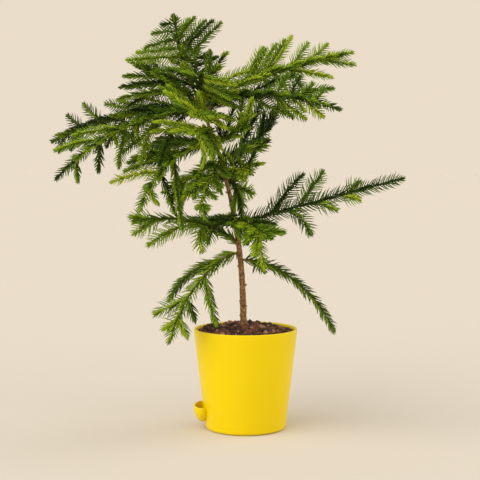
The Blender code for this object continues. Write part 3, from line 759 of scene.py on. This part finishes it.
class PINE_OT_pot(bpy.types.Operator):
    """Makes the pot and its watering spout"""
    bl_idname = "pine.make_pot"
    bl_label = "Pot and spout"

    SIDES = 160
    RIM_ROUND = 0.46          # radius of the rim's edges, as a share of the wall
    RIM_STEPS = 6
    FOOT_STEPS = 5
    SPOUT_ROUND = 0.4         # radius of the spout's edges, as a share of its wall
    SPOUT_STEPS = 4

    def execute(self, context):
        pot = context.scene.pine_pot
        material = plastic_material(tuple(pot.colour))
        body = self.make_body(pot)
        dress(body, material)
        hand_over(body, "pot_plastic", "pot")
        spout = self.make_spout(pot)
        dress(spout, material)
        hand_over(spout, "pot_plastic", "water_spout")
        return {"FINISHED"}

    def make_body(self, pot):
        body = add("pot_body", bpy.ops.mesh.primitive_cone_add, vertices=self.SIDES,
                   radius1=pot.base_radius, radius2=pot.top_radius, depth=pot.height,
                   end_fill_type="NGON", location=(0, 0, pot.height / 2))
        edit(body, "FACE", lambda face: face.normal.z > 0.9)
        bpy.ops.mesh.inset(thickness=pot.wall)
        floor = pot.height - pot.inside_depth
        inner = pot_radius(pot, floor) - pot.wall
        bpy.ops.mesh.extrude_region_move(TRANSFORM_OT_translate={"value": (0, 0, -pot.inside_depth)})
        share = inner / (pot.top_radius - pot.wall)
        bpy.ops.transform.resize(value=(share, share, 1), center_override=(0, 0, floor))
        leave_edit()
        for radius in (pot.top_radius, pot.top_radius - pot.wall):
            round_edges(body, ring_edge(pot.height, radius), pot.wall * self.RIM_ROUND, self.RIM_STEPS)
        round_edges(body, ring_edge(0, pot.base_radius), pot.foot_round, self.FOOT_STEPS)
        shade_by_angle(body, 35)
        return body

    def make_spout(self, pot):
        """Half of a thin bowl, let a little way into the pot's wall."""
        outward = Vector((math.cos(pot.spout_turn), math.sin(pot.spout_turn), 0))
        centre = outward * pot_radius(pot, pot.spout_height) + Vector((0, 0, pot.spout_height))
        spout = add("water_spout_bowl", bpy.ops.mesh.primitive_uv_sphere_add, segments=96, ring_count=48,
                    radius=1, location=centre, rotation=(0, 0, pot.spout_turn),
                    scale=(pot.spout_out, pot.spout_half_width, pot.spout_depth))
        edit(spout, "VERT", lambda vertex: True)
        bpy.ops.mesh.bisect(plane_co=centre, plane_no=(0, 0, 1), clear_outer=True)
        leave_edit()
        finish_modifier(spout, "SOLIDIFY", "wall", thickness=pot.spout_wall, offset=-1,
                        use_even_offset=True)
        round_edges(spout, lambda edge: len(edge.link_faces) == 2 and edge.calc_face_angle(0) > 0.9,
                    pot.spout_wall * self.SPOUT_ROUND, self.SPOUT_STEPS)
        reach = pot.height
        cutter = add("spout_cutter", bpy.ops.mesh.primitive_cone_add, vertices=self.SIDES,
                     radius1=pot_radius(pot, -reach) - pot.wall / 2,
                     radius2=pot_radius(pot, reach) - pot.wall / 2, depth=2 * reach)
        finish_modifier(spout, "BOOLEAN", "seat", operation="DIFFERENCE", object=cutter, solver="EXACT")
        bpy.data.objects.remove(cutter)
        shade_by_angle(spout, 40)
        return spout


# ---------------- soil


def soil_height(x, y):
    """Height of the soil's surface."""
    fall = SOIL_EDGE_DROP * (x * x + y * y) / SOIL_RADIUS ** 2
    swell = noise.noise(Vector((x, y, 0)) / SWELL_WIDTH) * SWELL
    return SOIL_TOP - SWELL - fall + swell


class PINE_OT_soil(bpy.types.Operator):
    """Makes the bed of soil and the loose chunks on it"""
    bl_idname = "pine.make_soil"
    bl_label = "Soil"

    SHAPES = 6
    SHARES = (0.42, 0.46, 0.12)     # of the chunks: dark, red and light
    GAP = 0.0006                    # between the bed and the pot's wall
    CHUNK_GAP = 0.0014              # between the chunks and the pot's wall
    DEPTH = 0.02
    RINGS = 22
    GRAIN = 0.0007                  # relief of the bed between the chunks
    GRAIN_WIDTH = 0.0022
    LUMPS, LUMP = 1.3, 0.55         # a chunk's lumps: how close they come, how far they stand out
    CHIPS, CHIP = 3.5, 0.25         # and its chips
    SIZE_SPREAD = 0.38
    SQUEEZE = (0.7, 1.25)           # least and most width of a chunk, in sizes
    RISE = (-0.05, 0.35)            # least and most height of its middle over the bed, in sizes

    def execute(self, context):
        pot, soil = context.scene.pine_pot, context.scene.pine_soil
        colours = [tuple(soil.dark), tuple(soil.red), tuple(soil.light)]
        bed = self.make_bed(pot)
        dress(bed, soil_bed_material(colours[0], colours[1]))
        hand_over(bed, "soil", "soil")
        names = ("crumbs_dark", "crumbs_red", "crumbs_light")
        materials = [crumb_material(name, colour) for name, colour in zip(names, colours)]
        for k in range(self.SHAPES):
            crumbs = self.make_crumbs(k, pot, soil, materials)
            hand_over(crumbs, "soil")
        return {"FINISHED"}

    def make_bed(self, pot):
        """A grid of fine relief inside the pot, closed underneath."""
        radius = pot.top_radius - pot.wall - self.GAP
        bed = add("soil_bed", bpy.ops.mesh.primitive_cylinder_add, vertices=128, radius=radius,
                  depth=self.DEPTH, location=(0, 0, SOIL_TOP - self.DEPTH / 2))
        edit(bed, "FACE", lambda face: face.normal.z > 0.9)
        for _ in range(self.RINGS):
            bpy.ops.mesh.inset(thickness=radius / (self.RINGS + 2))
        leave_edit()
        bottom = SOIL_TOP - self.DEPTH
        share = (pot_radius(pot, bottom) - pot.wall - self.GAP) / radius
        for vertex in bed.data.vertices:
            x, y, z = vertex.co
            if z < bottom + 0.001:
                vertex.co = (x * share, y * share, z)
            else:
                grain = noise.noise(Vector((x, y, 0)) / self.GRAIN_WIDTH) * self.GRAIN
                vertex.co.z = soil_height(x, y) + grain
        bed.data.shade_smooth()
        return bed

    def make_chunk(self, k):
        """One angular chunk, about 1 wide."""
        chunk = add(f"chunk_{k}", bpy.ops.mesh.primitive_ico_sphere_add, subdivisions=2, radius=0.5)
        for vertex in chunk.data.vertices:
            way = vertex.co.normalized()
            lump = noise.noise(way * self.LUMPS + Vector((7.3 * k, 0, 0))) * self.LUMP
            chip = noise.noise(way * self.CHIPS + Vector((0, 5.1 * k, 0))) * self.CHIP
            vertex.co = way * (0.5 + lump * 0.5 + chip * 0.5)
        return chunk

    def make_crumbs(self, k, pot, soil, materials):
        """A share of the chunks, all from one shape, strewn over the soil."""
        uneven = random.Random(f"crumbs {k}")
        chunk = self.make_chunk(k)
        shape = shape_arrays(chunk)
        count = soil.crumbs // self.SHAPES
        copies = np.empty((count, len(shape[0]), 3))
        tint_wear_and_painted_light = []
        room = pot.top_radius - pot.wall - self.CHUNK_GAP
        for n in range(count):
            size = soil.crumb_size * math.exp(uneven.gauss(0, self.SIZE_SPREAD))
            from_middle = (room - size * 0.4) * math.sqrt(uneven.random())
            angle = uneven.uniform(0, 2 * math.pi)
            x, y = from_middle * math.cos(angle), from_middle * math.sin(angle)
            turn = Quaternion([uneven.gauss(0, 1) for _ in range(4)]).normalized().to_matrix()
            scale = Matrix.Diagonal([size * uneven.uniform(*self.SQUEEZE) for _ in range(3)])
            place = np.array((x, y, soil_height(x, y) + size * uneven.uniform(*self.RISE)))
            copies[n] = shape[0] @ np.array(turn @ scale).T + place
            tint_wear_and_painted_light.append(uneven.choices((0, 1, 2), self.SHARES)[0])
        made = joined_copies(f"crumbs_{k}", shape, copies, materials, tint_wear_and_painted_light)
        bpy.data.objects.remove(chunk)
        return made


# ---------------- trunk and boughs


def trunk_radius(bark, height):
    share = (height - SOIL_TOP) / (TRUNK_TOP - SOIL_TOP)
    flare = bark.flare * math.exp((SOIL_TOP - height) / bark.flare_height)
    return bark.foot_radius + (bark.tip_radius - bark.foot_radius) * share + min(flare, bark.flare)


def add_relief(obj, middle_of, relief, grain):
    """Moves the vertices of a limb in and out: long ridges with short scars across them."""
    shift = Vector((3.7, 0, 0))
    for vertex in obj.data.vertices:
        middle = middle_of(vertex.co)
        outward = vertex.co - middle
        if outward.length < 0.00001:
            continue
        outward.normalize()
        x, y, z = vertex.co
        ridges = noise.noise(Vector((x / grain, y / grain, z / (5 * grain))) + shift)
        scars = noise.noise(Vector((x / (3 * grain), y / (3 * grain), z / grain)) + shift * 2)
        vertex.co += outward * relief * (ridges + max(0, scars - 0.1) * 1.6)


class PINE_OT_trunk(bpy.types.Operator):
    """Makes the trunk with its bark, stubs and scars, and the bare feet of the boughs"""
    bl_idname = "pine.make_trunk"
    bl_label = "Trunk and boughs"

    STATION = 0.0012
    BEVEL_STEPS = 6
    FOOT_BEVEL_STEPS = 3
    GRAIN = 0.0016           # width of a ridge of the trunk's bark
    FOOT_GRAIN = 0.0009      # the same on the boughs
    COLLAR = 0.7             # how much thicker a bough starts
    COLLAR_LENGTH = 0.0022
    # dead stubs: height, turn from +X towards +Y, length, radius
    STUBS = ((0.2092, 10, 0.0050, 0.0010), (0.1940, 175, 0.0046, 0.0010), (0.1700, 160, 0.0016, 0.0011),
             (0.1500, 15, 0.0018, 0.0012), (0.1330, 172, 0.0015, 0.0012), (0.1275, 20, 0.0014, 0.0010),
             (0.1180, 200, 0.0012, 0.0013), (0.2440, 5, 0.0030, 0.0008), (0.2480, 190, 0.0025, 0.0008))
    # a stub's outline: share of its length, share of its radius
    STUB = ((0, 1.5), (0.5, 1.25), (0.75, 1), (0.93, 0.8), (1, 0.35))
    KNOB = (0.3625, 262, 0.0038)     # an old scar of the leader: height, turn, radius
    KNOB_OUTLINE = ((0, 0.8), (0.6, 1), (1.2, 1), (1.7, 0.8), (2.0, 0.4))     # in radii

    def execute(self, context):
        bark = context.scene.pine_bark
        trunk = self.make_trunk(bark)
        dress(trunk, bark_material("trunk_bark", tuple(bark.brown), tuple(bark.olive), 0.24, 0.38))
        hand_over(trunk, "bark", "trunk")
        boughs = self.make_boughs(bark)
        dress(boughs, bark_material("bough_bark", tuple(bark.brown), tuple(bark.olive), 0.10, 0.30))
        hand_over(boughs, "bark", *("bough_" + name for name in BOUGHS))
        return {"FINISHED"}

    def make_trunk(self, bark):
        low = SOIL_TOP - 0.004
        count = round((TRUNK_TOP - low) / self.STATION)
        heights = [low + (TRUNK_TOP - low) * k / count for k in range(count + 1)]
        line = [trunk_point(max(height, SOIL_TOP)) for height in heights]
        for point, height in zip(line, heights):
            point.z = height
        radii = [trunk_radius(bark, height) for height in heights]
        lines = [(line, radii)]
        for height, turn, length, radius in self.STUBS:
            start = trunk_point(height)
            way = heading(turn, 25)
            reach = trunk_radius(bark, height) + length
            lines.append(([start + way * reach * share for share, _ in self.STUB],
                          [radius * thick for _, thick in self.STUB]))
        height, turn, radius = self.KNOB
        start = trunk_point(height)
        lines.append(([start + heading(turn, 20) * radius * step for step, _ in self.KNOB_OUTLINE],
                      [radius * thick for _, thick in self.KNOB_OUTLINE]))
        trunk = tubes("trunk_bark", lines, self.BEVEL_STEPS)

        def middle_of(point):
            middle = trunk_point(min(max(point.z, SOIL_TOP), TRUNK_TOP))
            return Vector((middle.x, middle.y, point.z))

        add_relief(trunk, middle_of, bark.relief, self.GRAIN)
        trunk.data.shade_smooth()
        return trunk

    def make_boughs(self, bark):
        """The bare foot of each bough, with a collar where it leaves the trunk."""
        lines = []
        for bough in BOUGHS.values():
            line = part_of(bough_line(bough), 0, min(1, (bough.bare + 0.004) / bough.length))
            last = len(line) - 1
            fine = [place_on(line, k / (4 * last))[0] for k in range(4 * last + 1)]
            radii = []
            for k in range(len(fine)):
                share = k / (len(fine) - 1)
                collar = math.exp(-share * last * STEP / self.COLLAR_LENGTH) * self.COLLAR
                radii.append(bark.bough_radius * (1 - 0.12 * share + collar))
            lines.append((fine, radii))
        boughs = tubes("bough_bark", lines, self.FOOT_BEVEL_STEPS)
        for vertex in boughs.data.vertices:
            push = noise.noise(vertex.co / self.FOOT_GRAIN) * bark.relief * 0.7
            vertex.co += vertex.normal * push
        boughs.data.shade_smooth()
        return boughs


# ---------------- twigs and needles

# whorls, from the ground up, and how the names of their boughs start
WHORLS = {"low": "low", "second": "second", "third": "third", "fourth": "fourth", "fifth": "fifth",
          "top": ("top", "leader")}
GREENS = ("deep", "dark", "middle", "fresh", "lime")
# how often a spray of each tone takes each of the greens; shaded sprays take darker greens as painted
# shade and bright ones lighter greens as painted light
DEALT = {
    "shaded": (0.45, 0.40, 0.15, 0.00, 0.00),
    "middle": (0.00, 0.30, 0.50, 0.20, 0.00),
    "bright": (0.00, 0.10, 0.45, 0.38, 0.07),
}

# painted light and shade: how much lighter than its spray's green the needles of each rank are: right,
# above, left and below; those above a twig are painted a green lighter, those below a green darker
RANK_LIGHT_AND_SHADE = (0, 1, 0, -1)
BETWEEN_LONG = 0.85          # length of a needle above or below its twig, as a share of one beside it

# needles in the tuft at a twig's tip, how far before the end of its wood they start, and the least
# and most that they lean
TUFT = 7
TUFT_LENGTH = 0.003
TUFT_LEAN = (0.08, 0.55)
CLOSING = 0.010              # this far before the end of the wood needles begin to close up

CLOSED_LEAN = 0.55           # at the end they keep this share of their lean
CLOSED_LONG = 0.62           # and of their length
STEM_BARE = 0.4              # share of a bough's bare foot that has no needles either
TWIG_BARE = 0.002
FINER_LONG = 0.9             # length of the needles on finer twigs, as a share

# a twig to be set with needles: the side of the bough that it leaves on, its line, its radii at both
# ends, the length without needles at its foot, how long its needles are and which green it wears
Spray = namedtuple("Spray", "tilt line thick thin bare long green")


def spray_lines(needles, name, bough):
    """The stem and the twigs of one bough."""
    uneven = random.Random(name)
    chooser = random.Random("greens " + name)
    line = bough_line(bough)
    greens = range(len(GREENS))
    full = FEATHER_LONG if name in FEATHERS else 1 - SHORTER * (bough.height - SHORTER_FROM)

    def green():
        return chooser.choices(greens, DEALT[bough.tone])[0]

    sprays = [Spray(bough.rows[0].tilt, line, needles.stem_radius, needles.stem_tip_radius,
                    bough.bare * STEM_BARE, full, green())]
    for rows, long in ((bough.rows, 1), (finer_rows(name, bough), FINER_LONG)):
        for tilt, twig in twig_lines(line, rows, uneven):
            sprays.append(Spray(tilt, twig, needles.twig_radius, needles.twig_tip_radius,
                                TWIG_BARE, long * full, green()))
    return sprays


def unit(vectors):
    return vectors / np.linalg.norm(vectors, axis=-1, keepdims=True)


def needle_places(needles, spray, uneven):
    """For each needle of the spray: foot, direction, the way its tip bends, length and width."""
    points = np.array(spray.line)
    steps = np.linalg.norm(np.diff(points, axis=0), axis=1)
    stations = np.concatenate([[0], np.cumsum(steps)])

    def points_at(where):
        return np.stack([np.interp(where, stations, points[:, axis]) for axis in range(3)], axis=1)

    length = stations[-1]
    wood = length - TIP_ROOM
    count = max(4, int((wood - spray.bare) / needles.spacing))
    where = spray.bare + (wood - spray.bare) * (np.arange(count) + 0.5) / count
    where += uneven.uniform(-0.3, 0.3, count) * needles.spacing
    where = np.concatenate([where, np.linspace(wood - TUFT_LENGTH, wood, TUFT)])
    share = where / length
    to_tip = np.clip((wood - where) / CLOSING, 0, 1)
    along = unit(points_at(where + 0.001) - points_at(where - 0.001))
    right = unit(np.cross(along, (0.0, 0.0, 1.0)))
    up = np.cross(right, along)

    # four ranks: to the right, above, to the left and below; the second and fourth are between
    rank = np.arange(len(where)) % len(RANK_LIGHT_AND_SHADE)
    flat = rank % 2 == 0
    strewn = np.where(flat, needles.flat_strewn, needles.between_strewn)
    angle = math.radians(spray.tilt) + rank * math.pi / 2 + uneven.uniform(-1, 1, len(where)) * strewn
    radial = right * np.cos(angle)[:, None] + up * np.sin(angle)[:, None]
    lean = np.where(flat, needles.lean, needles.between_lean)
    lean = lean * (CLOSED_LEAN + (1 - CLOSED_LEAN) * to_tip)
    lean = lean + uneven.uniform(-0.10, 0.10, len(where))
    lean[-TUFT:] = uneven.uniform(*TUFT_LEAN, TUFT)
    way = along * np.cos(lean)[:, None] + radial * np.sin(lean)[:, None]
    bends = along * np.sin(lean)[:, None] - radial * np.cos(lean)[:, None]

    full = needles.length + (needles.tip_length - needles.length) * share ** 1.5
    full = full * spray.long * np.where(flat, 1, BETWEEN_LONG)
    full = full * (CLOSED_LONG + (1 - CLOSED_LONG) * to_tip)
    full = full * uneven.uniform(0.88, 1.1, len(where))
    width = needles.width * uneven.uniform(0.85, 1.1, len(where))
    thick = spray.thick + (spray.thin - spray.thick) * share
    foot = points_at(where) + radial * (thick * 0.5)[:, None]
    return foot, way, bends, full, width


class PINE_OT_foliage(bpy.types.Operator):
    """Makes the green twigs of every bough and sets them with needles"""
    bl_idname = "pine.make_foliage"
    bl_label = "Twigs and needles"

    RINGS = (0.28, 0.66)      # where a needle has rings of vertices between its foot and its tip
    THINNING = 0.55           # how much narrower than its foot a needle would be at its tip
    THICKNESS = 0.75          # of a needle, as a share of its width
    BEND = 0.16               # how far the tip bends, as a share of the needle's length
    LEAST_STEM = 0.001        # a spray thicker than this is a stem: its wood leaves out the bare foot
    WOOD_END = 0.7            # wood ends this share of the tip's room before the end of the line

    def execute(self, context):
        needles = context.scene.pine_needles
        self.greens = [needle_material(green + "_needles", tuple(getattr(needles, green)))
                       for green in GREENS]
        twig_bark = bark_material("twig_bark", tuple(needles.twig), tuple(needles.twig), 0, 1)
        pattern = self.make_needle()
        shape = shape_arrays(pattern)
        for whorl, starts in WHORLS.items():
            for tone in DEALT:
                names = [name for name in BOUGHS if name.startswith(starts) and BOUGHS[name].tone == tone]
                if not names:
                    continue
                sprays = [spray for name in names for spray in spray_lines(needles, name, BOUGHS[name])]
                nodes = ["foliage_" + name for name in names]
                brush = self.set_needles(f"{whorl}_needles_{tone}", needles, shape, sprays)
                hand_over(brush, "needles_" + tone, *nodes)
                wood = self.make_wood(f"{whorl}_twigs_{tone}", sprays)
                dress(wood, twig_bark)
                hand_over(wood, "needles_" + tone, *nodes)
        bpy.data.objects.remove(pattern)
        return {"FINISHED"}

    def make_needle(self):
        """One straight four-sided needle along +Z, one long and one wide; it is bent towards +Y where the
        needles are set.
        """
        needle = add("needle", bpy.ops.mesh.primitive_cone_add, vertices=4, radius1=0.5, radius2=0,
                     depth=1, location=(0, 0, 0.5))
        for height in self.RINGS:
            edit(needle, "VERT", lambda vertex: True)
            bpy.ops.mesh.bisect(plane_co=(0, 0, height), plane_no=(0, 0, 1))
            leave_edit()
        for vertex in needle.data.vertices:
            x, y, z = vertex.co
            if 0.01 < z < 0.99:
                fuller = (1 - self.THINNING * z ** 2) / (1 - z)
                x, y = x * fuller, y * fuller
            vertex.co = (x, y * self.THICKNESS, z)
        return needle

    def set_needles(self, name, needles, shape, sprays):
        uneven = np.random.default_rng(sum(map(ord, name)))
        parts, tint_wear_and_painted_light = [], []
        points = shape[0]
        z = points[:, 2]
        for spray in sprays:
            foot, way, bends, full, width = needle_places(needles, spray, uneven)
            side = np.cross(bends, way)
            forward = np.outer(full, z)
            across = np.outer(width, points[:, 0])
            through = np.outer(width, points[:, 1]) + np.outer(full, z ** 2) * self.BEND
            parts.append(foot[:, None, :] + way[:, None, :] * forward[..., None]
                         + side[:, None, :] * across[..., None] + bends[:, None, :] * through[..., None])
            # each needle's green: its spray's, painted a green lighter above the twig and a green darker
            # below it
            tint_wear_and_painted_light += [min(max(spray.green + RANK_LIGHT_AND_SHADE[k % len(RANK_LIGHT_AND_SHADE)], 0), len(GREENS) - 1)
                     for k in range(len(foot))]
        used = sorted(set(tint_wear_and_painted_light))
        order = {green: k for k, green in enumerate(used)}
        return joined_copies(name, shape, np.concatenate(parts), [self.greens[k] for k in used],
                             [order[green] for green in tint_wear_and_painted_light])

    def make_wood(self, name, sprays):
        lines = []
        for spray in sprays:
            length = line_length(spray.line)
            start = spray.bare / length if spray.thick > self.LEAST_STEM else 0
            line = part_of(spray.line, start, 1 - TIP_ROOM * self.WOOD_END / length)
            last = len(line) - 1
            radii = [spray.thick + (spray.thin - spray.thick) * k / last for k in range(last + 1)]
            lines.append((line, radii))
        wood = tubes(name, lines, 2)
        wood.data.shade_smooth()
        return wood


# ---------------- stage


class PINE_OT_stage(bpy.types.Operator):
    """Makes the floor, the studio light and the camera"""
    bl_idname = "pine.make_stage"
    bl_label = "Stage"

    FLOOR_DROP = 0.0002      # how far the floor is below the pot's underside
    HORIZON = (0.823, 0.718, 0.581)
    ZENITH = (0.62, 0.58, 0.52)
    # name, where it shines from, strength, softness in degrees, colour
    LIGHTS = (
        ("key", (-1.25, -0.8, 0.95), 2.3, 75, (1.0, 0.94, 0.86)),
        ("fill", (1.1, -0.9, 0.45), 0.8, 70, (1.0, 0.92, 0.80)),
        ("rim", (1.4, 0.5, 0.7), 0.9, 40, (1.0, 0.95, 0.88)),
    )

    def execute(self, context):
        stage = context.scene.pine_stage
        self.make_floor(stage)
        self.make_world(context.scene)
        for light in self.LIGHTS:
            self.make_light(*light)
        self.make_camera(context.scene, stage)
        context.scene.view_settings.view_transform = "Standard"
        return {"FINISHED"}

    def make_floor(self, stage):
        floor = add("floor", bpy.ops.mesh.primitive_plane_add, size=stage.floor_size,
                    location=(0, 0, -self.FLOOR_DROP))
        material, field = new_material("pale_floor", Specular_IOR_Level=0.0)
        cloudy = noise_field(field, object_place(field), 3, 3)
        colour = tuple(stage.floor_colour)
        darker = tuple(c * 0.97 for c in colour)
        wire(material, Base_Color=mix_colours(field, cloudy * 0.5, colour, darker),
             Roughness=cloudy * 0.1 + 0.7)
        dress(floor, material)

    def make_world(self, scene):
        world = bpy.data.worlds.new("studio")
        world.use_nodes = True
        field = Field(world.node_tree)
        height = field.node("ShaderNodeSeparateXYZ", None,
                            {"Vector": field.node("ShaderNodeTexCoord", output="Generated")}, "Z")
        climb = field.node("ShaderNodeMapRange", None, {"Value": height, "From Min": 0.2, "From Max": 0.7})
        background = world.node_tree.nodes["Background"]
        sky = mix_colours(field, climb, self.HORIZON, self.ZENITH)
        world.node_tree.links.new(sky.socket, background.inputs["Color"])
        scene.world = world

    def make_light(self, name, place, strength, softness, colour):
        deselect()
        bpy.ops.object.light_add(type="SUN", location=place)
        light = bpy.context.view_layer.objects.active
        light.name = name
        light.data.energy = strength
        light.data.angle = math.radians(softness)
        light.data.color = colour
        light.rotation_euler = (-Vector(place)).to_track_quat("-Z", "Y").to_euler()

    def make_camera(self, scene, stage):
        deselect()
        bpy.ops.object.camera_add(location=stage.camera_place,
                                  rotation=(math.pi / 2 + stage.camera_pitch, 0, 0))
        camera = bpy.context.view_layer.objects.active
        camera.name = "camera"
        camera.data.lens = stage.lens
        camera.data.sensor_width = 36
        scene.camera = camera


class PINE_PT_panel(bpy.types.Panel):
    """The operators and settings of the pine"""
    bl_idname = "PINE_PT_panel"
    bl_label = "Potted Pine"
    bl_space_type = "VIEW_3D"
    bl_region_type = "UI"
    bl_category = "Pine"

    def draw(self, context):
        for operator, group in STEPS:
            box = self.layout.box()
            box.operator(operator.bl_idname)
            settings = getattr(context.scene, group)
            for name in settings.__annotations__:
                box.prop(settings, name)


# each step and the settings that it reads
STEPS = (
    (PINE_OT_pot, "pine_pot"),
    (PINE_OT_soil, "pine_soil"),
    (PINE_OT_trunk, "pine_bark"),
    (PINE_OT_foliage, "pine_needles"),
    (PINE_OT_stage, "pine_stage"),
)
SETTINGS = {
    "pine_pot": PotSettings,
    "pine_soil": SoilSettings,
    "pine_bark": BarkSettings,
    "pine_needles": NeedleSettings,
    "pine_stage": StageSettings,
}
CLASSES = (*SETTINGS.values(), *(operator for operator, _ in STEPS), PINE_PT_panel)


def register():
    for cls in CLASSES:
        bpy.utils.register_class(cls)
    for name, group in SETTINGS.items():
        setattr(bpy.types.Scene, name, PointerProperty(type=group))


def unregister():
    for name in SETTINGS:
        delattr(bpy.types.Scene, name)
    for cls in reversed(CLASSES):
        bpy.utils.unregister_class(cls)


def main():
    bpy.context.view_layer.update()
    register()
    bpy.ops.pine.make_pot()
    bpy.ops.pine.make_soil()
    bpy.ops.pine.make_trunk()
    bpy.ops.pine.make_foliage()
    bpy.ops.pine.make_stage()
    bpy.context.view_layer.update()


if __name__ == "__main__":
    main()
